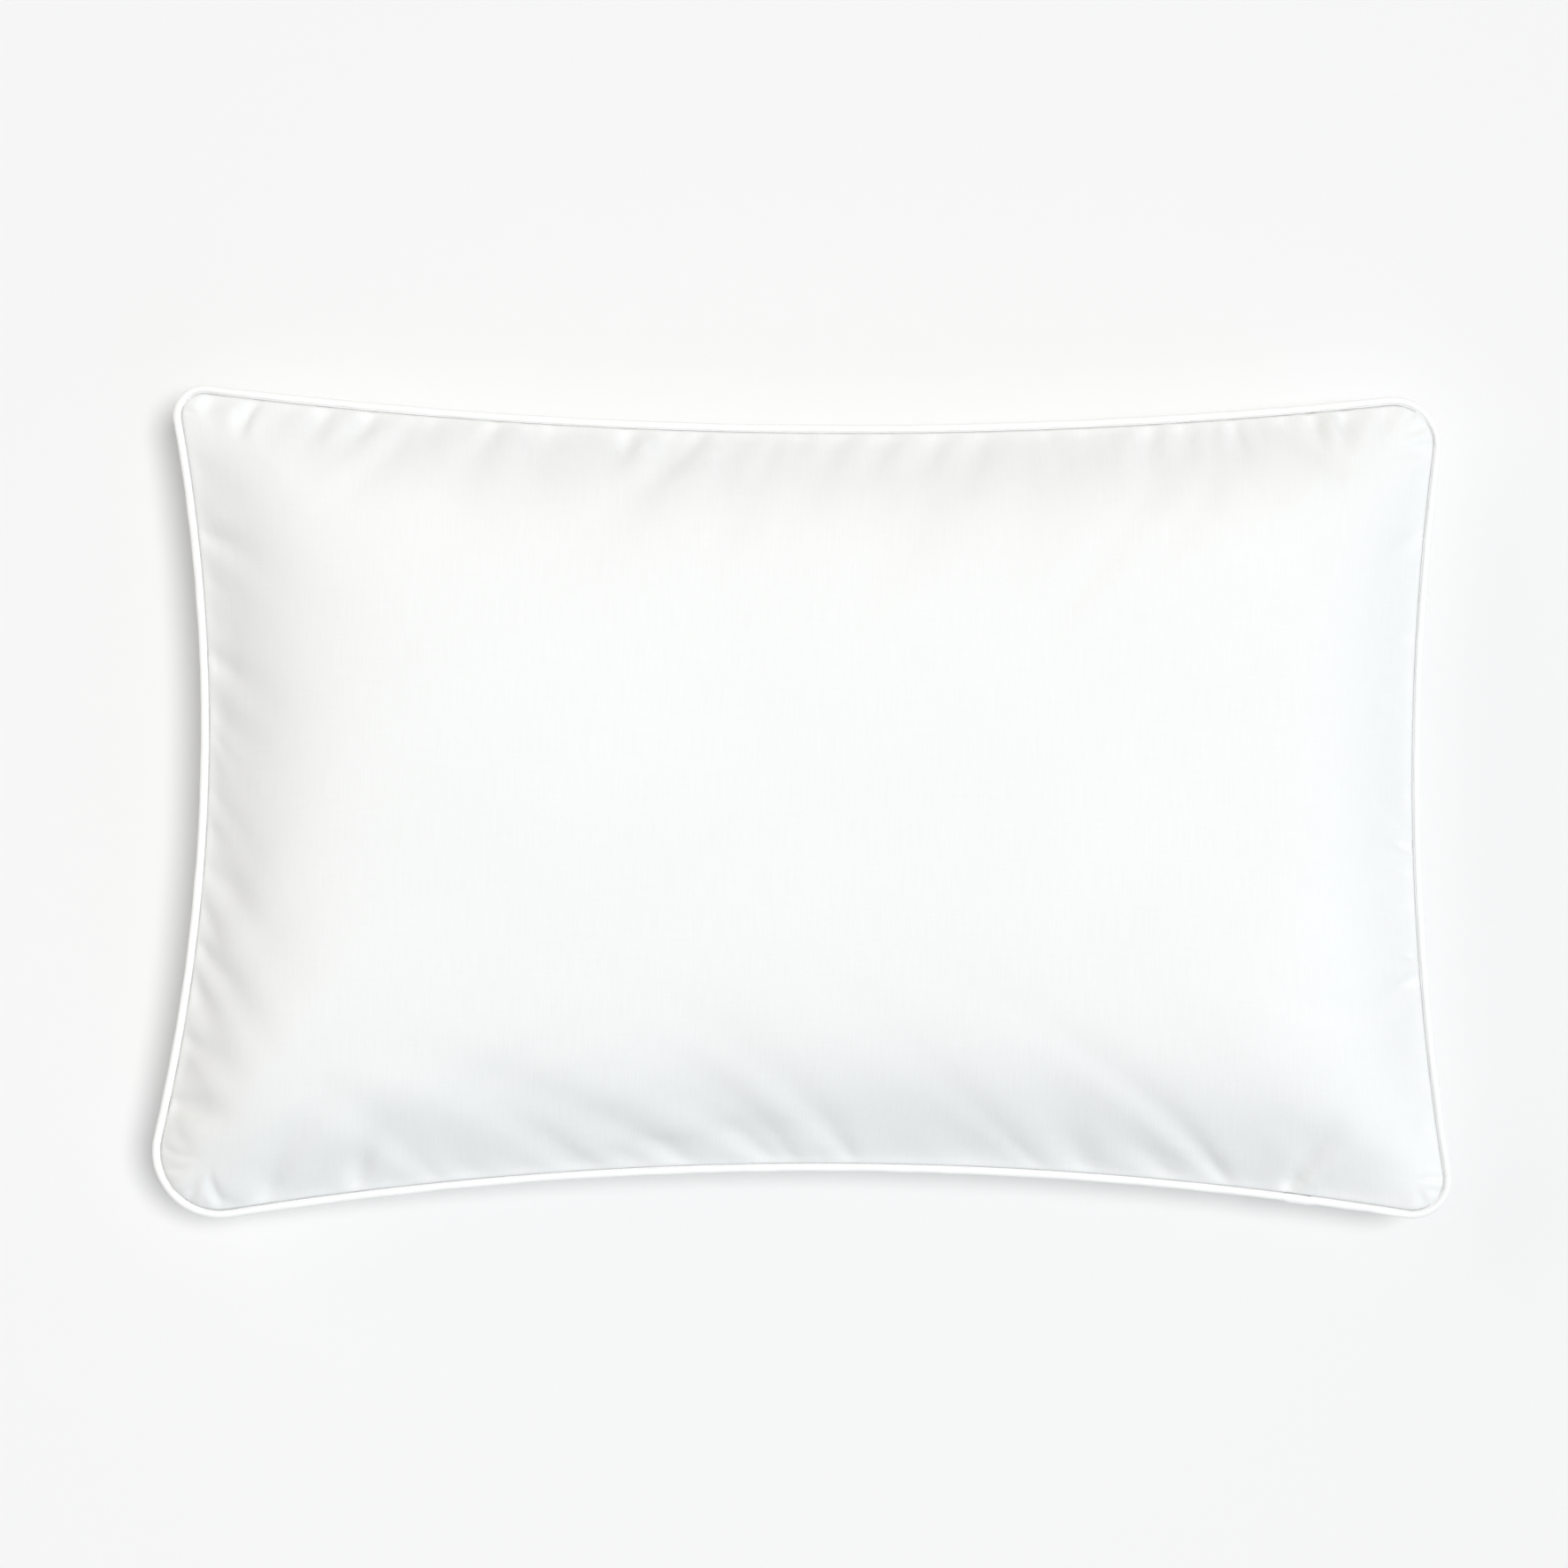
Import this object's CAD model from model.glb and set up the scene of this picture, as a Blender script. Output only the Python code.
import math

import bpy
import numpy as np
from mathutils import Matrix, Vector
from mathutils.kdtree import KDTree


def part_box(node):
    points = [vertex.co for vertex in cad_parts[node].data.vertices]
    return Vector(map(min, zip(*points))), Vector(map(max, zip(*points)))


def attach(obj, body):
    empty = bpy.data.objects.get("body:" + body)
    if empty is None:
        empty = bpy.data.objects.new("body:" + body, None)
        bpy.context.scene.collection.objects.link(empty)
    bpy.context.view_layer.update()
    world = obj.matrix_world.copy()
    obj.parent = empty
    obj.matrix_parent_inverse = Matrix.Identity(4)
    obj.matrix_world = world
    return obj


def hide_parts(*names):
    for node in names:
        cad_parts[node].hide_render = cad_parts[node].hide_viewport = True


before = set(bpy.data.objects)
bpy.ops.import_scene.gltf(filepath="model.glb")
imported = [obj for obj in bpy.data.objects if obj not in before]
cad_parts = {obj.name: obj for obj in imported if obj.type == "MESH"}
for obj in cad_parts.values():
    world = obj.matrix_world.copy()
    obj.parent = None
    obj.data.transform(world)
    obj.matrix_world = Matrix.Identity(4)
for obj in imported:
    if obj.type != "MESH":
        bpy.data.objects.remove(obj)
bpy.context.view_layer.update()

scene = bpy.context.scene
mm = 0.001
body = "root"

sleeveLow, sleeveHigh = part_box("piping_sleeve")
pillowLength = sleeveHigh.x - sleeveLow.x
pillowWidth = sleeveHigh.y - sleeveLow.y
seamHeight = (sleeveLow.z + sleeveHigh.z) / 2
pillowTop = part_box("front_panel")[1].z


# camera, floor and light

studio = {
    "cameraHeight": 2.5,          # a long lens, straight down
    "frameWidth": 0.9037,         # how much the camera sees across, at the seam
    "aim": (-0.0104, 0.0103),     # the pillow sits a little right of and below the middle
    "floorSize": 120.0,
    "floorWhite": 0.745,
    "floorGlow": 0.126,           # a lit white table, so that shadows stay light
    "skyStrength": 0.35,
    "skyTint": (0.98, 1.0, 1.0),
    "lamps": {
        # strength, tint, where it comes from, degrees across
        "keyLight": (2.14, (1.0, 1.0, 1.0), (0.30, 0.09, 1.0), 22),
        "warmLight": (0.50, (1.0, 0.86, 0.74), (-1.0, 0.55, 0.42), 50),
        "coolLight": (0.22, (0.58, 0.80, 1.0), (0.8, -1.0, 0.5), 50),
    },
}


def newMaterial(name):
    material = bpy.data.materials.new(name)
    material.use_nodes = True
    nodes = material.node_tree.nodes
    nodes.clear()
    shader = nodes.new("ShaderNodeBsdfPrincipled")
    output = nodes.new("ShaderNodeOutputMaterial")
    material.node_tree.links.new(shader.outputs["BSDF"], output.inputs["Surface"])
    return material, shader


def addSun(name, strength, tint, fromWhere, angle):
    light = bpy.data.lights.new(name, "SUN")
    light.energy = strength
    light.color = tint
    light.angle = math.radians(angle)
    lamp = bpy.data.objects.new(name, light)
    lamp.rotation_euler = Vector(fromWhere).to_track_quat("Z", "Y").to_euler()
    scene.collection.objects.link(lamp)


def setUpStudio(s):
    cameraData = bpy.data.cameras.new("camera")
    cameraData.sensor_width = 36
    cameraData.lens = 36 * (s["cameraHeight"] - seamHeight) / s["frameWidth"]
    camera = bpy.data.objects.new("camera", cameraData)
    camera.location = (*s["aim"], s["cameraHeight"])
    scene.collection.objects.link(camera)
    scene.camera = camera

    half = s["floorSize"] / 2
    corners = [(-half, -half, 0), (half, -half, 0), (half, half, 0), (-half, half, 0)]
    floorMesh = bpy.data.meshes.new("floor")
    floorMesh.from_pydata(corners, [], [(0, 1, 2, 3)])
    floor = bpy.data.objects.new("floor", floorMesh)
    scene.collection.objects.link(floor)
    material, shader = newMaterial("paleFloor")
    shader.inputs["Base Color"].default_value = (*[s["floorWhite"]] * 3, 1)
    shader.inputs["Roughness"].default_value = 1.0
    shader.inputs["Specular IOR Level"].default_value = 0.0
    shader.inputs["Emission Color"].default_value = (1, 1, 1, 1)
    shader.inputs["Emission Strength"].default_value = s["floorGlow"]
    floorMesh.materials.append(material)

    world = bpy.data.worlds.new("studioLight")
    world.use_nodes = True
    background = world.node_tree.nodes["Background"]
    background.inputs["Color"].default_value = (*s["skyTint"], 1)
    background.inputs["Strength"].default_value = s["skyStrength"]
    scene.world = world
    for name, lamp in s["lamps"].items():
        addSun(name, *lamp)
    scene.view_settings.view_transform = "Standard"


setUpStudio(studio)
print("studio set up")


# the seam line: four hollow sides between four round corners, anticlockwise from
# the front side, with each corner after the side that leads to it

outline = {
    "cornerRadius": [39, 23, 28, 18],  # front left, front right, back right, back left
    "drawnInAlong": [0, 0, 6, 12],
    "drawnInAcross": [0, 0, 7, 0],
    "sideHollow": [28, 16, 20, 23],    # front, right, back, left
}

seam = {
    "cordD": 3.4,
    "boreD": 3.5,
    "cloth": 0.4,
    "ditch": 0.3,
    "turnedIn": 8,
    "foldGap": 0.1,
    "cornerSag": 7,       # how far the corners droop below the middle of the sides
    "wave": 1.2,          # slow rise and fall of the piping
}
pipeD = seam["boreD"] + 2 * seam["cloth"]
foldInset = pipeD + seam["ditch"]
rawInset = foldInset + seam["turnedIn"]
flangeTop = seam["foldGap"] / 2 + seam["cloth"]
stackTop = flangeTop + seam["cloth"]


def unit(angle):
    return np.stack([np.cos(angle), np.sin(angle)], axis=-1)


def bearing(v):
    return math.atan2(v[1], v[0])


def makeArcs(o):
    signs = [(-1, -1), (1, -1), (1, 1), (-1, 1)]
    radius = [r * mm for r in o["cornerRadius"]]
    centre = [
        np.array([
            sx * (pillowLength / 2 - o["drawnInAlong"][i] * mm - radius[i]),
            sy * (pillowWidth / 2 - o["drawnInAcross"][i] * mm - radius[i]),
        ])
        for i, (sx, sy) in enumerate(signs)
    ]
    sides = []
    for i in range(4):
        p, q = centre[i], centre[(i + 1) % 4]
        span = np.linalg.norm(q - p)
        sideRadius = span ** 2 / (8 * o["sideHollow"][i] * mm)
        a, b = sideRadius + radius[i], sideRadius + radius[(i + 1) % 4]
        along = (q - p) / span
        out = np.array([along[1], -along[0]])
        x = (a * a - b * b + span * span) / (2 * span)
        sides.append((p + along * x + out * math.sqrt(a * a - x * x), sideRadius))
    arcs = []
    for i in range(4):
        c, r = sides[i]
        j = (i + 1) % 4
        start, end = bearing(centre[i] - c), bearing(centre[j] - c)
        sweep = (end - start + math.pi) % (2 * math.pi) - math.pi
        arcs.append({"centre": c, "radius": r, "inwards": 1, "start": start, "sweep": sweep})
        start = bearing(c - centre[j])
        end = bearing(sides[j][0] - centre[j])
        sweep = (end - start) % (2 * math.pi)
        arcs.append({"centre": centre[j], "radius": radius[j], "inwards": -1,
                     "start": start, "sweep": sweep})
    return arcs


arcs = makeArcs(outline)


# places at shares of an arc, at an inset in metres, and the way inwards there
def onArc(arc, share, inset):
    direction = unit(arc["start"] + arc["sweep"] * np.asarray(share, float))
    reach = arc["radius"] + arc["inwards"] * inset
    return arc["centre"] + reach * direction, arc["inwards"] * direction


# evenly spaced places round the seam: points, ways inwards and lengths so far
def seamLine(inset, spacing):
    points, inwards = [], []
    for arc in arcs:
        length = abs(arc["sweep"]) * (arc["radius"] + arc["inwards"] * foldInset * mm)
        count = max(6, round(length / (spacing * mm)))
        p, n = onArc(arc, np.arange(count) / count, inset * mm)
        points.append(p)
        inwards.append(n)
    points, inwards = np.concatenate(points), np.concatenate(inwards)
    step = np.linalg.norm(np.roll(points, -1, axis=0) - points, axis=1)
    return points, inwards, np.concatenate([[0], np.cumsum(step)[:-1]])


# how far the pillow's corners hang, and the slow wave in its seam
def droop(p):
    x = np.asarray(p)[..., 0] / (pillowLength / 2)
    y = np.asarray(p)[..., 1] / (pillowWidth / 2)
    edge = np.clip(np.maximum(np.abs(x), np.abs(y)), 0, 1) ** 6
    wave = np.sin(5.1 * x + 0.7) * np.cos(3.3 * y + 0.4)
    return -seam["cornerSag"] * mm * x ** 2 * y ** 2 + seam["wave"] * mm * edge * wave


foldPoints, foldInwards, foldAlong = seamLine(foldInset, 1.0)
seamTree = KDTree(len(foldPoints))
for i, p in enumerate(foldPoints):
    seamTree.insert((p[0], p[1], 0), i)
seamTree.balance()
seamRound = foldAlong[-1] + np.linalg.norm(foldPoints[0] - foldPoints[-1])
cornerStarts = [foldAlong[np.argmin(np.linalg.norm(
    foldPoints - onArc(arc, 0, foldInset * mm)[0], axis=1))] for arc in arcs]
print("seam line", round(seamRound, 3), "m round")


# casing: two flat panels sewn along their edges, blown up as cloth

casing = {
    "cutLength": 752,
    "cutWidth": 496,
    "cutCorner": [45, 30, 34, 26],      # the panels' corner radii before filling
    "cells": (130, 86),
    "quickCells": (66, 44),
    "finer": (3, 2),                    # rows of the finished top and bottom to each cell
    "frames": 20,
    "drawInBy": 13,                     # the frame at which the seam has drawn in
    "pressure": 30,
    "stiffness": 40,
    "shear": 8,
    "bending": 0.3,
    # how far in from the front, right, back and left sides each panel has risen, at the
    # beginning and the end of the side
    "topShoulder": ((39, 42), (34, 34), (34, 34), (44, 29)),
    "bottomShoulder": ((44, 44), (40, 40), (40, 40), (38, 38)),
    "mitre": 1.6,                       # how squarely two sides meet: 1 soft, 3 a sharp hip
    "crown": 120,                       # the slower rise towards the middle, and its share
    "crownShare": 0.36,
    "bottomSwell": 62,                  # a little more than the seam's height: it lies flat
    "foldShare": 0.28,                  # how much of the simulated folds the fibre leaves
    "foldMost": 6,
    "foldOnset": 9,                     # how far in from the stitching the folds begin
    "puff": 1.9,                        # how far the cloth stands up beside the stitching
    "puffOnset": 1.1,
    "sewnDown": 3,                      # how near the stitching the swell is held down
    # gathers eased into each side, front, right, back and left: how many, how much, how wide
    "eased": [(12, 0.40, 12), (7, 0.25, 12), (26, 0.55, 8), (14, 0.50, 11)],
    # stronger pleats: side, share along it, how much, how wide
    "pleats": [
        (2, 0.34, 0.7, 10), (2, 0.66, 0.6, 10), (2, 0.12, 0.6, 10), (3, 0.88, 0.6, 14),
        (3, 0.74, 0.6, 14), (3, 0.42, 0.4, 12), (0, 0.07, 0.6, 14), (0, 0.33, 0.4, 16),
        (0, 0.88, 0.5, 10), (1, 0.22, 0.4, 10), (1, 0.42, 0.4, 8),
    ],
    "seed": 3,
}


# for each side, shares of the cut edge against shares of the seam it is eased onto
def easeTables(c):
    random = np.random.default_rng(c["seed"])
    tables = []
    for side, (count, amount, width) in enumerate(c["eased"]):
        length = abs(arcs[2 * side]["sweep"]) * arcs[2 * side]["radius"]
        share = np.linspace(0, 1, 4001)
        density = np.ones_like(share)
        places = (np.arange(count) + 0.5 + random.uniform(-0.35, 0.35, count)) / count
        amounts = amount * random.uniform(0.3, 1.3, count)
        gathers = [(p, a, width) for p, a in zip(places, amounts)]
        gathers += [(p, a, w) for s, p, a, w in c["pleats"] if s == side]
        for place, much, wide in gathers:
            density += much * np.exp(-((share - place) * length / (wide * mm)) ** 2)
        cut = np.concatenate([[0], np.cumsum((density[1:] + density[:-1]) / 2)])
        tables.append((cut / cut[-1], share))
    return tables


def cornerOf(x, y):
    if y > 0:
        return 2 if x > 0 else 3
    return 1 if x > 0 else 0


# where a point of the unit square lies on the flat panel with its round corners
def cutPlace(u, v, c):
    x, y = u * c["cutLength"] / 2, v * c["cutWidth"] / 2
    r = c["cutCorner"][cornerOf(x, y)]
    a = (abs(x) - c["cutLength"] / 2 + r) / r
    b = (abs(y) - c["cutWidth"] / 2 + r) / r
    if a > 0 and b > 0:
        x = math.copysign(c["cutLength"] / 2 - r + r * a * math.sqrt(1 - b * b / 2), x)
        y = math.copysign(c["cutWidth"] / 2 - r + r * b * math.sqrt(1 - a * a / 2), y)
    return x * mm, y * mm


# where an edge point of the flat panel is sewn on the seam line
def sewnPlace(x, y, c, tables):
    halfLength, halfWidth = c["cutLength"] * mm / 2, c["cutWidth"] * mm / 2
    r = [k * mm for k in c["cutCorner"]]
    i = cornerOf(x, y)
    inX, inY = abs(x) - halfLength + r[i], abs(y) - halfWidth + r[i]
    if inX > 0 and inY > 0:
        angle = math.atan2(math.copysign(inY, y), math.copysign(inX, x))
        share = (angle - (i - 2) * math.pi / 2) % (2 * math.pi) / (math.pi / 2)
        arc = arcs[(2 * i - 1) % 8]
        return onArc(arc, min(share, 1), foldInset * mm)[0]
    side = 0
    if inX > inY:
        side = 1 if x > 0 else 3
    elif y > 0:
        side = 2
    way = (x, y, -x, -y)[side]
    half = (halfLength, halfWidth)[side % 2]
    first, second = r[side], r[(side + 1) % 4]
    cutShare = (way + half - first) / (2 * half - first - second)
    share = np.interp(cutShare, *tables[side])
    return onArc(arcs[2 * side], share, foldInset * mm)[0]


# cloth simulation of the sewn casing: gives the top and bottom as grids of points, and the
# flat place of each point on its panel
def blowUpCasing(c):
    across, down = c["cells"]
    tables = easeTables(c)
    ids = {}
    flat, places, edge = [], [], []
    for layer in (1, -1):
        for i in range(across + 1):
            for j in range(down + 1):
                onEdge = i in (0, across) or j in (0, down)
                key = (0 if onEdge else layer, i, j)
                if key in ids:
                    continue
                ids[key] = len(places)
                u, v = 2 * i / across - 1, 2 * j / down - 1
                x, y = cutPlace(u, v, c)
                swell = 6 * mm * math.sqrt((1 - u * u) * (1 - v * v))
                places.append((x, y, 0 if onEdge else layer * swell))
                flat.append((x, y))
                if onEdge:
                    edge.append(ids[key])
    rim = set(edge)

    def idGrid(layer):
        return np.array([
            [ids[0 if i in (0, across) or j in (0, down) else layer, i, j]
             for j in range(down + 1)] for i in range(across + 1)
        ])

    top, bottom = idGrid(1), idGrid(-1)
    faces = []
    for grid, turned in ((top, False), (bottom, True)):
        quads = np.stack([grid[:-1, :-1], grid[1:, :-1], grid[1:, 1:], grid[:-1, 1:]], axis=-1)
        quads = quads.reshape(-1, 4)
        faces += (quads[:, ::-1] if turned else quads).tolist()

    mesh = bpy.data.meshes.new("sewnCloth")
    mesh.from_pydata(places, [], faces)
    cloth = bpy.data.objects.new("sewnCloth", mesh)
    scene.collection.objects.link(cloth)
    cloth.shape_key_add(name="flat")
    drawnIn = cloth.shape_key_add(name="drawnIn")
    for k in edge:
        x, y = sewnPlace(*flat[k], c, tables)
        drawnIn.data[k].co = (x, y, 0)
    drawnIn.value = 0
    drawnIn.keyframe_insert("value", frame=1)
    drawnIn.value = 1
    drawnIn.keyframe_insert("value", frame=c["drawInBy"])
    held = cloth.vertex_groups.new(name="sewn")
    held.add(sorted(rim), 1.0, "REPLACE")

    modifier = cloth.modifiers.new("cloth", "CLOTH")
    settings = modifier.settings
    settings.quality = 5
    settings.mass = 0.02
    settings.tension_stiffness = c["stiffness"]
    settings.compression_stiffness = c["stiffness"] / 2
    settings.shear_stiffness = c["shear"]
    settings.bending_stiffness = c["bending"]
    settings.tension_damping = 5
    settings.compression_damping = 5
    settings.shear_damping = 5
    settings.vertex_group_mass = "sewn"
    settings.pin_stiffness = 50
    settings.use_pressure = True
    settings.uniform_pressure_force = c["pressure"]
    settings.effector_weights.gravity = 0
    modifier.collision_settings.use_collision = False
    modifier.collision_settings.use_self_collision = False
    modifier.point_cache.frame_start = 1
    modifier.point_cache.frame_end = c["frames"]
    for f in range(1, c["frames"] + 1):
        scene.frame_set(f)
    filled = cloth.evaluated_get(bpy.context.evaluated_depsgraph_get())
    points = np.empty(len(places) * 3)
    filled.data.vertices.foreach_get("co", points)
    points = points.reshape(-1, 3)
    bpy.data.objects.remove(cloth)
    bpy.data.meshes.remove(mesh)
    scene.frame_set(1)
    flat = np.array(flat)
    print("casing blown up, height", np.ptp(points[:, 2]).round(4))
    return points[top], points[bottom], flat[top], flat[bottom]


# puts smooth new rows between the rows of a grid of points, both ways
def denser(grid, times):
    for axis in (0, 1):
        g = np.moveaxis(grid, axis, 0)
        first, last = 2 * g[:1] - g[1:2], 2 * g[-1:] - g[-2:-1]
        padded = np.concatenate([first, g, last])
        a, b, c, d = padded[:-3], padded[1:-2], padded[2:-1], padded[3:]
        out = np.empty((times * (len(g) - 1) + 1,) + g.shape[1:])
        for k in range(times):
            t = k / times
            out[k:-1:times] = b + t / 2 * (c - a + t * (2 * a - 5 * b + 4 * c - d
                                                        + t * (3 * (b - c) + d - a)))
        out[-1] = g[-1]
        grid = np.moveaxis(out, 0, axis)
    return grid


# for each point, how far it is from the fold along the panel and where on the seam
def seamPlaces(grid):
    flat = grid.reshape(-1, 3)
    away, along = np.empty(len(flat)), np.empty(len(flat))
    for k, p in enumerate(flat):
        _, i, d = seamTree.find((p[0], p[1], 0))
        away[k], along[k] = d, foldAlong[i]
    return away.reshape(grid.shape[:2]), along.reshape(grid.shape[:2])


def gridNormals(grid):
    a = np.gradient(grid, axis=0)
    b = np.gradient(grid, axis=1)
    n = np.cross(a, b)
    return n / np.linalg.norm(n, axis=2, keepdims=True)


# fine gathers that the stitching puts into the cloth beside the seam
gathers = {
    # spacing, depth, length, width, lean
    "front": (32, 3.2, 42, 7.0, -0.7),
    "right": (23, 4.0, 12, 3.6, 0.15),
    "back": (14, 5.6, 30, 4.2, 0.05),
    "left": (24, 4.2, 26, 6.2, 0.75),
    "corner": (9, 5.0, 14, 2.8, 0.0),
    # the deeper ones: side, share along it, depth, length, width, lean
    "deeper": [
        (2, 0.385, 7, 34, 5.0, 0.15), (2, 0.60, 7, 42, 6.0, 0.35), (2, 0.64, 5, 26, 4.5, 0.1),
        (2, 0.07, 9, 24, 5.0, -0.3), (0, 0.895, 9, 30, 4.5, 0.3), (0, 0.03, 8, 40, 6.0, 0.5),
        (0, 0.30, 4, 55, 9.0, -0.9), (0, 0.46, 4, 60, 9.0, -0.9), (3, 0.95, 9, 34, 5.0, -0.2),
        (3, 0.62, 7, 30, 6.0, 0.6), (3, 0.33, 6, 28, 6.0, 0.5), (1, 0.45, 7, 14, 4.5, 0.4),
        (1, 0.275, 6, 18, 4.0, -0.4), (1, 0.88, 7, 14, 5.0, -0.5), (0, 0.11, 7, 34, 5.0, 0.3),
        (3, 0.86, 7, 30, 5.0, 0.1), (3, 0.16, 6, 26, 5.0, 0.4), (2, 0.86, 6, 30, 5.0, 0.3),
    ],
    "onset": 7,           # the distance from the stitching over which a gather deepens
    "widening": 24,       # the distance over which a gather doubles its width
    "bend": 60,           # how slowly a gather curves as it runs in
    "puffWidth": 2.2,     # the puffed cloth beside a gather, in gather widths
    "meeting": 14,        # how near the mitre of a corner the gathers die out
    "seed": 11,
}


# where each fold starts along the seam, with its depth, length, width and lean
def sideFolds(g, way):
    random = np.random.default_rng(g["seed"] + (way < 0))
    names = ("front", "corner", "right", "corner", "back", "corner", "left", "corner")
    ends = cornerStarts[1:] + [seamRound]
    folds = []
    for name, start, end in zip(names, cornerStarts, ends):
        spacing, deep, long, wide, lean = g[name]
        count = max(2, round((end - start) / (spacing * mm)))
        for k in range(count):
            place = start + (end - start) * (k + 0.5 + random.uniform(-0.45, 0.45)) / count
            folds.append((place, deep * random.uniform(0.1, 1.5), long * random.uniform(0.4, 1.8),
                          wide * random.uniform(0.7, 1.5), lean + random.uniform(-0.35, 0.35),
                          random.uniform(-0.5, 0.5)))
    if way > 0:
        for side, share, deep, long, wide, lean in g["deeper"]:
            start, end = cornerStarts[2 * side], ends[2 * side]
            folds.append((start + share * (end - start), deep, long, wide, lean, 0.2))
    return folds


# how far each point is from each of the four sides' folds
def sideDistances(flat):
    return np.stack([
        np.linalg.norm(flat - arc["centre"], axis=2) - arc["radius"] - foldInset * mm
        for arc in arcs[::2]
    ])


# sinks narrow folds that run in from the stitching and lets the cloth between them puff
def addGathers(grid, away, along, way, g):
    height = np.zeros(away.shape)
    for place, deep, long, wide, lean, bend in sideFolds(g, way):
        centre = place + lean * away + bend * away ** 2 / (g["bend"] * mm)
        offset = (along - centre + seamRound / 2) % seamRound - seamRound / 2
        spread = wide * mm * (1 + away / (g["widening"] * mm))
        puffed = 0.5 * np.exp(-(offset / spread / g["puffWidth"]) ** 2)
        fold = puffed - np.exp(-(offset / spread) ** 2)
        fade = np.exp(-(away / (long * mm)) ** 1.4) * (1 - np.exp(-away / (g["onset"] * mm)))
        height += deep * mm * fold * fade
    # the folds of two sides die out where they meet, inside the round corners
    nearest, second = np.sort(sideDistances(grid[..., :2]), axis=0)[:2]
    meeting = np.exp(-((second - nearest) / (g["meeting"] * mm)) ** 2)
    height *= 1 - meeting * (1 - np.exp(-(away / (g["meeting"] * mm)) ** 2))
    return grid + gridNormals(grid) * way * height[..., None]


# averages a grid over a number of rows each way, mirrored at its ends
def evened(values, axis, reach):
    g = np.moveaxis(values, axis, 0)
    steps = np.arange(-3 * reach, 3 * reach + 1)
    weights = np.exp(-0.5 * (steps / reach) ** 2)
    index = np.arange(len(g))[:, None] + steps
    index = np.abs(index)
    index = len(g) - 1 - np.abs(len(g) - 1 - index)
    out = np.tensordot(g[index], weights / weights.sum(), axes=(1, 0))
    return np.moveaxis(out, 0, axis)


# the same edge with the cloth drawn evenly across it
def stretchedFlat(grid):
    flat = grid[..., :2].copy()
    rounds = 500  # enough for the grid to come to rest
    for _ in range(rounds):
        acrossIt, downIt = flat[:-2, 1:-1] + flat[2:, 1:-1], flat[1:-1, :-2] + flat[1:-1, 2:]
        flat[1:-1, 1:-1] = (acrossIt + downIt) / 4
    return flat


# the simulated folds that run in from the seam, without the swell they lie on
def keptFolds(grid, c):
    across, down = grid.shape[:2]
    reach = round(0.05 * across)
    alongX = grid - evened(grid, 0, reach)
    alongY = grid - evened(grid, 1, reach)
    u = np.abs(np.linspace(-1, 1, across))[:, None, None] * pillowLength
    v = np.abs(np.linspace(-1, 1, down))[None, :, None] * pillowWidth
    # how much nearer an end of the pillow than a long side
    nearEnd = np.clip(0.5 + (u - v - pillowLength + pillowWidth) / 0.16, 0, 1)
    folds = alongX * (1 - nearEnd) + alongY * nearEnd
    folds = evened(evened(folds, 0, 1), 1, 1)
    size = np.linalg.norm(folds, axis=2, keepdims=True) + 1e-9
    most = c["foldMost"] * mm
    return folds * (c["foldShare"] * most * np.tanh(size / most) / size)


# fibre swells a panel into a cushion, steep near each side and slowly crowned inside
def swellHeight(flat, shoulders, rise, c):
    share, mitre = np.ones(flat.shape[:2]), c["mitre"]
    x, y = flat[..., 0] / pillowLength, flat[..., 1] / pillowWidth
    distances = sideDistances(flat)
    for side, (begin, end) in enumerate(shoulders):
        shoulder = begin + (end - begin) * np.clip(0.5 + (x, y, -x, -y)[side], 0, 1)
        away = np.maximum(distances[side], 0) / mm
        slow = c["crownShare"] * np.exp(-(away / c["crown"]) ** 1.5)
        quick = (1 - c["crownShare"]) * np.exp(-(away / shoulder) ** 1.5)
        share *= 1 - (slow + quick) ** mitre
    share = 1 - (1 - share) ** (1 / mitre)
    return rise * share / share.max()


# the simulated panel as the fibre inside holds it
def settlePanel(grid, way, c):
    folds = keptFolds(grid, c)
    flat = stretchedFlat(grid)
    times = c["finer"][way < 0]
    folds, flat = denser(folds, times), denser(flat, times)
    out = np.concatenate([flat, 0 * flat[..., :1]], axis=2)
    away, along = seamPlaces(out)
    away[0], away[-1], away[:, 0], away[:, -1] = 0, 0, 0, 0
    shoulders = c["topShoulder"] if way > 0 else c["bottomShoulder"]
    rise = pillowTop - seamHeight if way > 0 else c["bottomSwell"] * mm
    height = swellHeight(flat, shoulders, rise - flangeTop * mm, c)
    height *= 1 - np.exp(-away / (c["sewnDown"] * mm))  # round corners are sewn down too
    puff = c["puff"] * mm
    puffed = puff * (1 - np.exp(-away / (c["puffOnset"] * mm)))
    out[..., 2] = way * (flangeTop * mm + puffed + height * (1 - puff / rise))
    out += folds * (1 - np.exp(-away / (c["foldOnset"] * mm)))[..., None]
    out[..., 2] += seamHeight + droop(out)
    return out, away, along


def linkPiece(name, mesh, slot, *nodes):
    piece = bpy.data.objects.new(name, mesh)
    scene.collection.objects.link(piece)
    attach(piece, body)
    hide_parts(*nodes)
    return piece


def smoothMesh(name, points, faces):
    mesh = bpy.data.meshes.new(name)
    mesh.from_pydata(np.asarray(points).tolist(), [], np.asarray(faces).tolist())
    mesh.shade_smooth()
    return mesh


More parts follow.
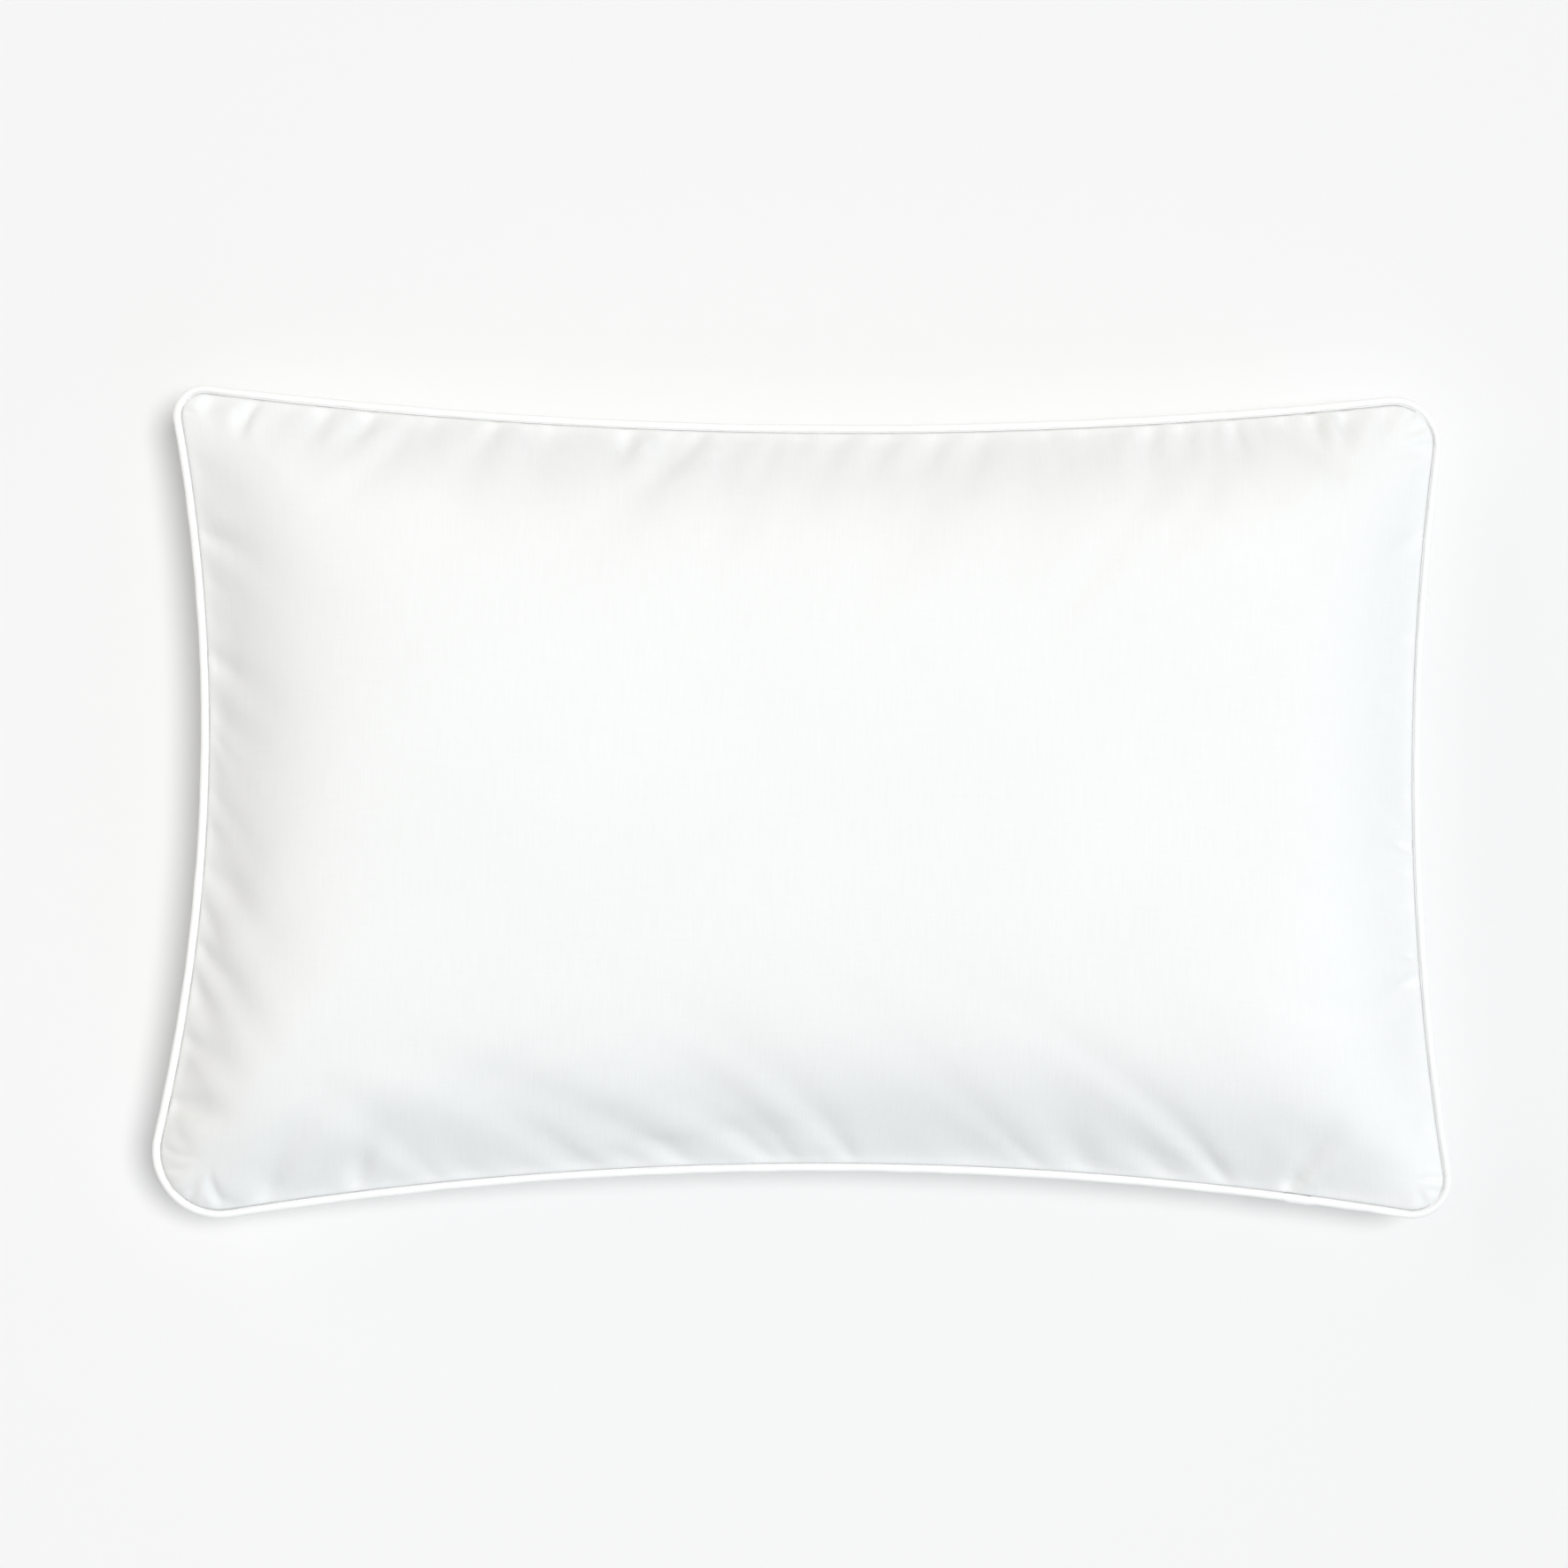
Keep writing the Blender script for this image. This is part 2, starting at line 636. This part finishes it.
# rings of the panel's edge turned in along the seam, from the fold inwards
def turnInEdge(grid):
    rim = np.concatenate([grid[:-1, 0], grid[-1, :-1], grid[:0:-1, -1], grid[0, :0:-1]])
    rings = []
    for inset in (1.2, seam["turnedIn"] * 0.5, seam["turnedIn"]):
        ring = rim.copy()
        for k, p in enumerate(rim):
            _, i, _ = seamTree.find((p[0], p[1], 0))
            ring[k, :2] = p[:2] + foldInwards[i] * inset * mm
        ring[:, 2] = rim[:, 2]
        rings.append(ring)
    return rings


def panelMesh(name, grid, cut, way):
    across, down = grid.shape[:2]
    ids = np.arange(across * down).reshape(across, down)
    quads = np.stack([ids[:-1, :-1], ids[1:, :-1], ids[1:, 1:], ids[:-1, 1:]], axis=-1)
    faces = quads.reshape(-1, 4)
    points = [grid.reshape(-1, 3)]
    flat = [cut.reshape(-1, 2)]
    rim = np.concatenate([ids[:-1, 0], ids[-1, :-1], ids[:0:-1, -1], ids[0, :0:-1]])
    rimCut = np.concatenate([cut[:-1, 0], cut[-1, :-1], cut[:0:-1, -1], cut[0, :0:-1]])
    previous, count = rim, across * down
    for ring in turnInEdge(grid):
        current = count + np.arange(len(ring))
        strip = [previous, current, np.roll(current, -1), np.roll(previous, -1)]
        faces = np.concatenate([faces, np.stack(strip, axis=-1)])
        points.append(ring)
        flat.append(rimCut)
        previous = current
        count += len(ring)
    points, flat = np.concatenate(points), np.concatenate(flat)
    if way < 0:
        faces = faces[:, ::-1]
    mesh = smoothMesh(name, points, faces)
    layer = mesh.uv_layers.new(name="cut")
    corners = np.empty(len(mesh.loops), int)
    mesh.loops.foreach_get("vertex_index", corners)
    layer.data.foreach_set("uv", flat[corners].ravel())
    return mesh


# cloth, thread and fibre materials

def texture(tree, kind, scale, detail, source):
    node = tree.nodes.new(kind)
    node.inputs["Scale"].default_value = scale
    node.inputs["Detail"].default_value = detail
    tree.links.new(source, node.inputs["Vector"])
    return node


def stretched(tree, source, scale, turn=0):
    mapping = tree.nodes.new("ShaderNodeMapping")
    mapping.inputs["Scale"].default_value = scale
    mapping.inputs["Rotation"].default_value = (0, 0, math.radians(turn))
    tree.links.new(source, mapping.inputs["Vector"])
    return mapping.outputs["Vector"]


def maths(tree, operation, a, b):
    node = tree.nodes.new("ShaderNodeMath")
    node.operation = operation
    for socket, value in zip(node.inputs, (a, b)):
        if isinstance(value, (int, float)):
            socket.default_value = value
        else:
            tree.links.new(value, socket)
    return node.outputs[0]


def ranged(tree, value, low, high, newLow, newHigh):
    node = tree.nodes.new("ShaderNodeMapRange")
    names = ("From Min", "From Max", "To Min", "To Max")
    for name, number in zip(names, (low, high, newLow, newHigh)):
        node.inputs[name].default_value = number
    tree.links.new(value, node.inputs["Value"])
    return node.outputs["Result"]


def blendColour(tree, share, a, b):
    node = tree.nodes.new("ShaderNodeMix")
    node.data_type = "RGBA"
    tree.links.new(share, node.inputs[0])
    for socket, value in ((node.inputs[6], a), (node.inputs[7], b)):
        if isinstance(value, tuple):
            socket.default_value = (*value, 1)
        else:
            tree.links.new(value, socket)
    return node.outputs[2]


def bumped(tree, shader, height, distance, strength=1.0):
    node = tree.nodes.new("ShaderNodeBump")
    node.inputs["Distance"].default_value = distance
    node.inputs["Strength"].default_value = strength
    tree.links.new(height, node.inputs["Height"])
    tree.links.new(node.outputs["Normal"], shader.inputs["Normal"])


cambric = {
    "white": (0.922, 0.934, 0.930),
    "shade": (0.890, 0.898, 0.892),
    "threads": 0.42,          # millimetres from one thread to the next
    "slubLength": 26,
    "slubWidth": 0.7,
    "relief": 0.10,           # millimetres, of weave and slubs
    "roughness": (0.78, 0.92),
}


def casingMaterial(c):
    material, shader = newMaterial("cambric")
    tree = material.node_tree
    uv = tree.nodes.new("ShaderNodeUVMap")
    uv.uv_map = "cut"
    cloth = uv.outputs["UV"]
    # warp runs up the pillow and is slubbier than the weft
    thin, long = 1 / (c["slubWidth"] * mm), 1 / (c["slubLength"] * mm)
    warp = texture(tree, "ShaderNodeTexNoise", 1, 2, stretched(tree, cloth, (thin, long, 1)))
    weft = texture(tree, "ShaderNodeTexNoise", 1, 2, stretched(tree, cloth, (long, thin, 1)))
    slubs = maths(tree, "ADD", maths(tree, "MULTIPLY", warp.outputs[0], 0.66),
                  maths(tree, "MULTIPLY", weft.outputs[0], 0.34))
    split = tree.nodes.new("ShaderNodeSeparateXYZ")
    tree.links.new(cloth, split.inputs[0])
    turns = 2 * math.pi / (c["threads"] * mm)
    over = maths(tree, "SINE", maths(tree, "MULTIPLY", split.outputs[0], turns), 0)
    under = maths(tree, "SINE", maths(tree, "MULTIPLY", split.outputs[1], turns), 0)
    weave = maths(tree, "MULTIPLY", over, under)
    cloudy = texture(tree, "ShaderNodeTexNoise", 9, 3, cloth)
    tint = ranged(tree, maths(tree, "ADD", maths(tree, "MULTIPLY", slubs, 0.7),
                              maths(tree, "MULTIPLY", cloudy.outputs[0], 0.3)),
                  0.36, 0.64, 0, 1)
    colour = blendColour(tree, tint, c["shade"], c["white"])
    tree.links.new(colour, shader.inputs["Base Color"])
    rough = ranged(tree, slubs, 0.3, 0.7, *c["roughness"])
    tree.links.new(rough, shader.inputs["Roughness"])
    height = maths(tree, "ADD", maths(tree, "MULTIPLY", weave, 0.12), slubs)
    bumped(tree, shader, height, c["relief"] * mm)
    shader.inputs["Specular IOR Level"].default_value = 0.25
    shader.inputs["Sheen Weight"].default_value = 0.08
    shader.inputs["Sheen Roughness"].default_value = 0.4
    return material


def makeCasing(c):
    topGrid, bottomGrid, topCut, bottomCut = blowUpCasing(c)
    material = casingMaterial(cambric)
    made = []
    for name, grid, cut, way, node in (
        ("frontCasing", topGrid, topCut, 1, "front_panel"),
        ("backCasing", bottomGrid, bottomCut, -1, "back_panel"),
    ):
        grid, away, along = settlePanel(grid, way, c)
        cut = denser(cut, c["finer"][way < 0])
        grid = addGathers(grid, away, along, way, gathers)
        grid[..., 2] = np.maximum(grid[..., 2], 0)
        made.append((grid, away))
        mesh = panelMesh(name, grid, cut, way)
        mesh.materials.append(material)
        piece = linkPiece(name, mesh, "casing_cloth", node)
        thickness = piece.modifiers.new("clothThickness", "SOLIDIFY")
        thickness.thickness = seam["cloth"] * mm
        thickness.offset = -1
        print(name, "points", len(mesh.vertices), "top", grid[..., 2].max().round(4))
    return made


panelGrids = makeCasing(casing)


# piping: a bias strip drawn over a cord and sewn in between the panels

piping = {
    "spacing": 1.5,
    "around": 20,
    "pucker": 0.05,        # how much the bias strip's fine creases rise, in millimetres
    "wobble": 0.18,
    "joinAt": 286,         # to the right of the middle of the front side
    "lapLength": 15,
    "lapSlant": 2.2,
    "lapStep": 0.5,        # the folded end is sharp, and the other end eases away
    "lapEase": 8,
    "seed": 5,
}


# smooth noise round a closed line of places
def slowNoise(random, count, period, size):
    waves = max(3, round(count / period))
    ring = random.uniform(-1, 1, waves)
    places = np.arange(count) * waves / count
    i = places.astype(int)
    f = places - i
    f = f * f * (3 - 2 * f)
    return size * (ring[i % waves] * (1 - f) + ring[(i + 1) % waves] * f)


# the extra cloth where the strip's folded end lies over its beginning
def lapThickness(along, joinPlace, angle, p):
    x = (along - joinPlace) / mm + p["lapSlant"] * np.sin(angle)
    step = np.clip((x + p["lapLength"] / 2) / p["lapStep"], 0, 1)
    ease = np.clip((p["lapLength"] / 2 + p["lapEase"] / 2 - x) / p["lapEase"], 0, 1)
    return 2 * seam["cloth"] * step * ease * ease * (3 - 2 * ease)


# how far round the seam the strip is joined
def joinAlong(points, along):
    away = np.hypot(points[:, 0] - piping["joinAt"] * mm, points[:, 1] + pillowWidth / 2)
    return along[np.argmin(away)]


def ringFaces(stations, around):
    ids = np.arange(stations * around).reshape(stations, around)
    ahead, beside = np.roll(ids, -1, axis=0), np.roll(ids, -1, axis=1)
    both = np.roll(ahead, -1, axis=1)
    return np.stack([ids, ahead, both, beside], axis=-1).reshape(-1, 4)


def makeSleeve(p):
    random = np.random.default_rng(p["seed"])
    edge, inwards, _ = seamLine(0, p["spacing"])
    fold, _, along = seamLine(foldInset, p["spacing"])
    count = len(edge)
    joinPlace = joinAlong(fold, along)
    shift = slowNoise(random, count, 9, p["wobble"])
    lift = slowNoise(random, count, 11, p["wobble"])
    fine = slowNoise(random, count, 1.7, p["pucker"])
    finer = slowNoise(random, count, 2.6, p["pucker"])
    mid, bore, half = pipeD / 2, seam["boreD"] / 2, seam["foldGap"] / 2
    opening = math.asin(flangeTop / mid)
    slit = math.asin(half / bore)
    angles = np.linspace(opening, 2 * math.pi - opening, p["around"])
    inner = np.linspace(2 * math.pi - slit, slit, 12)
    rows = []
    for angle in angles:
        crease = fine * np.sin(2 * angle) + finer * np.cos(3 * angle)
        radius = mid + crease + lapThickness(along, joinPlace, angle, p)
        rows.append((mid + radius * math.cos(angle), radius * math.sin(angle), 1))
    for inset, z in ((foldInset, -flangeTop), (rawInset, -flangeTop), (rawInset, -half)):
        rows.append((inset + 0 * along, z + 0 * along, 0))
    for angle in inner:
        inset, z = mid + bore * math.cos(angle), bore * math.sin(angle)
        rows.append((inset + 0 * along, z + 0 * along, 1))
    for inset, z in ((rawInset, half), (rawInset, flangeTop), (foldInset, flangeTop)):
        rows.append((inset + 0 * along, z + 0 * along, 0))
    points = np.empty((count, len(rows), 3))
    for k, (inset, z, loose) in enumerate(rows):
        inset = inset + loose * shift
        points[:, k, :2] = edge + inwards * inset[:, None] * mm
        points[:, k, 2] = seamHeight + (z + loose * lift) * mm
    points[..., 2] += droop(points)
    faces = ringFaces(count, len(rows))[:, ::-1]
    mesh = smoothMesh("pipingSleeve", points.reshape(-1, 3), faces)
    mesh.uv_layers.new(name="strip")
    corners = np.empty(len(mesh.loops), int)
    mesh.loops.foreach_get("vertex_index", corners)
    station, row = corners // len(rows), corners % len(rows)
    uv = np.stack([along[station], row * 0.75 * mm], axis=-1)
    # keep the last cells from running back to the beginning of the strip
    cell = np.repeat(station.reshape(-1, 4).max(axis=1) == count - 1, 4)
    uv[cell & (station == 0), 0] = seamRound
    mesh.uv_layers["strip"].data.foreach_set("uv", uv.ravel())
    mesh.materials.append(stripMaterial(biasStrip))
    linkPiece("pipingSleeve", mesh, "piping_cloth", "piping_sleeve")


biasStrip = {
    "white": (0.955, 0.958, 0.955),
    "shade": (0.925, 0.927, 0.922),
    "threads": 0.42,
    "relief": 0.06,
    "roughness": (0.70, 0.86),
}


def stripMaterial(c):
    material, shader = newMaterial("biasStrip")
    tree = material.node_tree
    uv = tree.nodes.new("ShaderNodeUVMap")
    uv.uv_map = "strip"
    strip = uv.outputs["UV"]
    turned = stretched(tree, strip, (1, 1, 1), 45)
    slubs = texture(tree, "ShaderNodeTexNoise", 1, 2,
                    stretched(tree, turned, (1 / (0.6 * mm), 1 / (9 * mm), 1)))
    split = tree.nodes.new("ShaderNodeSeparateXYZ")
    tree.links.new(turned, split.inputs[0])
    turns = 2 * math.pi / (c["threads"] * mm)
    over = maths(tree, "SINE", maths(tree, "MULTIPLY", split.outputs[0], turns), 0)
    under = maths(tree, "SINE", maths(tree, "MULTIPLY", split.outputs[1], turns), 0)
    weave = maths(tree, "MULTIPLY", over, under)
    tint = ranged(tree, slubs.outputs[0], 0.3, 0.7, 0, 1)
    tree.links.new(blendColour(tree, tint, c["shade"], c["white"]), shader.inputs["Base Color"])
    rough = ranged(tree, slubs.outputs[0], 0.3, 0.7, *c["roughness"])
    tree.links.new(rough, shader.inputs["Roughness"])
    height = maths(tree, "ADD", maths(tree, "MULTIPLY", weave, 0.2), slubs.outputs[0])
    bumped(tree, shader, height, c["relief"] * mm)
    shader.inputs["Specular IOR Level"].default_value = 0.3
    shader.inputs["Sheen Weight"].default_value = 0.08
    shader.inputs["Sheen Roughness"].default_value = 0.4
    return material


makeSleeve(piping)
print("piping sleeve sewn in")


# cord and threads, as tubes along lists of places

# one mesh of round tubes, each along its own path of points
def tubeMesh(name, paths, radius, closed):
    curve = bpy.data.curves.new(name, "CURVE")
    curve.dimensions = "3D"
    curve.bevel_depth = radius
    curve.bevel_resolution = 1
    curve.use_fill_caps = not closed
    for path in paths:
        spline = curve.splines.new("POLY")
        spline.points.add(len(path) - 1)
        flat = np.concatenate([path, np.ones((len(path), 1))], axis=1)
        spline.points.foreach_set("co", flat.ravel())
        spline.use_cyclic_u = closed
    holder = bpy.data.objects.new(name, curve)
    scene.collection.objects.link(holder)
    depsgraph = bpy.context.evaluated_depsgraph_get()
    mesh = bpy.data.meshes.new_from_object(holder.evaluated_get(depsgraph))
    mesh.name = name
    mesh.shade_smooth()
    bpy.data.objects.remove(holder)
    bpy.data.curves.remove(curve)
    return mesh


# points beside the seam at an inset and a height above it, which may vary
def seamPath(inset, height, spacing):
    points, inwards, along = seamLine(0, spacing)
    insets = inset(along) if callable(inset) else inset
    heights = height(along) if callable(height) else height
    flat = points + inwards * np.reshape(insets, (-1, 1)) * mm
    z = seamHeight + heights * mm + 0 * along
    path = np.column_stack([flat, z])
    path[:, 2] += droop(path)
    return path, along


yarns = {
    "cordStrands": 3,
    "strandRadius": 0.78,
    "cordTwist": 9.0,
    "threadD": 0.35,
    "stitchLength": 2.5,
    "stitchShare": 0.88,      # the rest of the length is the hole between two stitches
    "stitchInset": foldInset + 1.0,
    "closingInset": foldInset + 1.7,
    "closingAt": (-180, -30),
    "closingLap": 12,
    "overlockWidth": 4.5,
    "overlockPitch": 2.5,
}


# twisted yarn: light and dark plies that wind along it
def yarnMaterial(name, white, shade, twist, relief):
    material, shader = newMaterial(name)
    tree = material.node_tree
    place = tree.nodes.new("ShaderNodeTexCoord").outputs["Object"]
    wound = (1 / (twist * mm), 1 / (twist * mm), 1 / (twist * 0.6 * mm))
    plies = texture(tree, "ShaderNodeTexNoise", 1, 2, stretched(tree, place, wound, 35))
    fuzz = texture(tree, "ShaderNodeTexNoise", 1 / (0.25 * mm), 3, place)
    share = maths(tree, "ADD", maths(tree, "MULTIPLY", plies.outputs[0], 0.7),
                  maths(tree, "MULTIPLY", fuzz.outputs[0], 0.3))
    tree.links.new(blendColour(tree, ranged(tree, share, 0.35, 0.65, 0, 1), shade, white),
                   shader.inputs["Base Color"])
    tree.links.new(ranged(tree, fuzz.outputs[0], 0.3, 0.7, 0.7, 0.95), shader.inputs["Roughness"])
    bumped(tree, shader, share, relief * mm)
    shader.inputs["Sheen Weight"].default_value = 0.15
    return material


def makeCord(y):
    middle, along = seamPath(pipeD / 2, 0, 1.2)
    points, inwards, _ = seamLine(0, 1.2)
    turns = round(seamRound / (y["cordTwist"] * mm))
    joinPlace = joinAlong(points, along)
    kept = np.abs(along - joinPlace) > 0.5 * mm
    first = int(np.argmax(~kept))
    order = np.roll(np.arange(len(along)), -first)
    order = order[kept[order]]
    off = (seam["cordD"] / 2 - y["strandRadius"]) * mm
    paths = []
    for strand in range(y["cordStrands"]):
        angle = 2 * math.pi * (turns * along / seamRound + strand / y["cordStrands"])
        path = middle.copy()
        path[:, :2] += inwards * (off * np.cos(angle))[:, None]
        path[:, 2] += off * np.sin(angle)
        paths.append(path[order])
    mesh = tubeMesh("pipingCord", paths, y["strandRadius"] * mm, False)
    material = yarnMaterial("cottonCord", (0.90, 0.87, 0.80), (0.80, 0.76, 0.67), 1.2, 0.12)
    mesh.materials.append(material)
    linkPiece("pipingCord", mesh, "filler_cord", "piping_cord")


# each stitch rises from its hole, lies along the cloth and goes down the next hole
def stitchPaths(y, inset, way, wanted):
    radius = y["threadD"] / 2
    top = stackTop + radius
    # share of the stitch, height above the cloth
    shape = [(0.0, -0.25), (0.06, 0.0), (0.25, 0.10), (0.5, 0.13), (0.75, 0.10), (0.94, 0.0),
             (1.0, -0.25)]
    points, inwards, along = seamLine(0, 0.25)
    total = along[-1]
    count = round(total / (y["stitchLength"] * mm))
    paths = []
    for k in range(count):
        start = k / count * total
        places = np.array([start + s * total / count * y["stitchShare"] for s, _ in shape])
        index = np.clip(np.searchsorted(along, places), 0, len(along) - 1)
        flat = points[index] + inwards[index] * inset * mm
        if not wanted(flat[3]):
            continue
        rise = np.array([r for _, r in shape])
        path = np.column_stack([flat, seamHeight + way * (top + rise) * mm])
        path[:, 2] += droop(path)
        paths.append(path)
    return paths


def makeStitches(y):
    material = yarnMaterial("sewingThread", (0.93, 0.93, 0.92), (0.84, 0.84, 0.83), 0.5, 0.05)
    low, high = [x * mm for x in y["closingAt"]]
    lap = y["closingLap"] * mm

    def inOpening(p, more=0):
        return p[1] > 0 and low - more < p[0] < high + more

    rows = (
        ("needleThread", "needle_thread", y["stitchInset"], (1,), lambda p: not inOpening(p)),
        ("bobbinThread", "bobbin_thread", y["stitchInset"], (-1,), lambda p: not inOpening(p)),
        ("closingThread", "closing_thread", y["closingInset"], (1, -1),
         lambda p: inOpening(p, lap)),
    )
    for name, node, inset, ways, wanted in rows:
        paths = []
        for way in ways:
            paths += stitchPaths(y, inset, way, wanted)
        mesh = tubeMesh(name, paths, y["threadD"] / 2 * mm, False)
        mesh.materials.append(material)
        linkPiece(name, mesh, "sewing_thread", node)
        print(name, len(paths), "stitches")


# looper thread wound over the raw edges, down one face and back along the other
def makeOverlock(y):
    points, inwards, along = seamLine(0, 0.2)
    total = along[-1]
    count = round(total / (y["overlockPitch"] * mm))
    inner, outer = rawInset - y["overlockWidth"], rawInset + 0.25
    face = stackTop + 0.18
    turnShape = [(0.0, inner, face), (0.12, inner + 2.2, face + 0.05), (0.25, outer - 0.3, face),
                 (0.30, outer, 0.0), (0.35, outer - 0.3, -face), (0.5, inner + 2.2, -face - 0.05),
                 (0.62, inner, -face), (0.74, inner + 2.2, -face - 0.05),
                 (0.82, outer - 0.3, -face), (0.86, outer, 0.0), (0.90, outer - 0.3, face),
                 (0.96, inner + 2.2, face + 0.05)]
    share = np.array([s for s, _, _ in turnShape])
    insets = np.array([i for _, i, _ in turnShape])
    heights = np.array([h for _, _, h in turnShape])
    places = ((np.arange(count)[:, None] + share) / count * total).ravel()
    index = np.clip(np.searchsorted(along, places), 0, len(along) - 1)
    flat = points[index] + inwards[index] * np.tile(insets, count)[:, None] * mm
    path = np.column_stack([flat, seamHeight + np.tile(heights, count) * mm])
    path[:, 2] += droop(path)
    mesh = tubeMesh("overlockThread", [path], 0.14 * mm, True)
    material = yarnMaterial("overlockYarn", (0.90, 0.90, 0.89), (0.80, 0.80, 0.79), 0.6, 0.05)
    mesh.materials.append(material)
    linkPiece("overlockThread", mesh, "overlock_thread", "overlock_thread")


makeCord(yarns)
makeStitches(yarns)
makeOverlock(yarns)
print("cord and threads made")


# filling: lofty fibre that bears on the inside of the casing

filling = {
    "gap": 1.2,        # between the fibre and the cloth
    "rimRows": 3,      # rows of cells kept clear for the turned-in edges
    "lump": 1.6,
    "lumpSize": 24,
    "seed": 21,
}


def makeFilling(f, grids):
    (top, _), (bottom, _) = grids
    random = np.random.default_rng(f["seed"])
    layers = []
    for grid, way, times in zip((top, bottom), (1, -1), casing["finer"]):
        rim = f["rimRows"] * times
        inside = grid - gridNormals(grid) * way * (f["gap"] + seam["cloth"]) * mm
        part = inside[rim:-rim:times, rim:-rim:times]
        phase = random.uniform(0, 6, 6)
        k = 2 * math.pi / (f["lumpSize"] * mm)
        x, y = part[..., 0], part[..., 1]
        lumps = sum(np.sin(k * (x * math.cos(a) + y * math.sin(a)) * (0.6 + 0.15 * n) + a)
                    for n, a in enumerate(phase)) / 6
        part[..., 2] -= way * f["lump"] * mm * (0.5 + 0.5 * lumps)
        layers.append(part)
    across, down = layers[0].shape[:2]
    ids = np.arange(across * down).reshape(across, down)
    below = ids + across * down
    faces = []
    for grid, turned in ((ids, False), (below, True)):
        quads = np.stack([grid[:-1, :-1], grid[1:, :-1], grid[1:, 1:], grid[:-1, 1:]], axis=-1)
        quads = quads.reshape(-1, 4)
        faces += (quads[:, ::-1] if turned else quads).tolist()
    rimTop = np.concatenate([ids[:-1, 0], ids[-1, :-1], ids[:0:-1, -1], ids[0, :0:-1]])
    rimBelow = rimTop + across * down
    wall = [rimTop, rimBelow, np.roll(rimBelow, -1), np.roll(rimTop, -1)]
    faces += np.stack(wall, axis=-1).tolist()
    points = np.concatenate([layer.reshape(-1, 3) for layer in layers])
    mesh = smoothMesh("fibreFilling", points, faces)
    mesh.materials.append(fibreMaterial())
    piece = linkPiece("fibreFilling", mesh, "filling_fibre", "filling")
    rounder = piece.modifiers.new("rounder", "SUBSURF")
    rounder.levels = rounder.render_levels = 1


def fibreMaterial():
    material, shader = newMaterial("hollowFibre")
    tree = material.node_tree
    place = tree.nodes.new("ShaderNodeTexCoord").outputs["Object"]
    tufts = texture(tree, "ShaderNodeTexNoise", 60, 6, place)
    strands = texture(tree, "ShaderNodeTexNoise", 1, 4,
                      stretched(tree, place, (1500, 300, 900), 30))
    share = maths(tree, "ADD", maths(tree, "MULTIPLY", tufts.outputs[0], 0.6),
                  maths(tree, "MULTIPLY", strands.outputs[0], 0.4))
    tree.links.new(blendColour(tree, share, (0.80, 0.80, 0.79), (0.95, 0.95, 0.94)),
                   shader.inputs["Base Color"])
    rough = ranged(tree, strands.outputs[0], 0.3, 0.7, 0.8, 1.0)
    tree.links.new(rough, shader.inputs["Roughness"])
    bumped(tree, shader, share, 1.5 * mm)
    shader.inputs["Sheen Weight"].default_value = 0.3
    return material


makeFilling(filling, panelGrids)
print("filling put in")
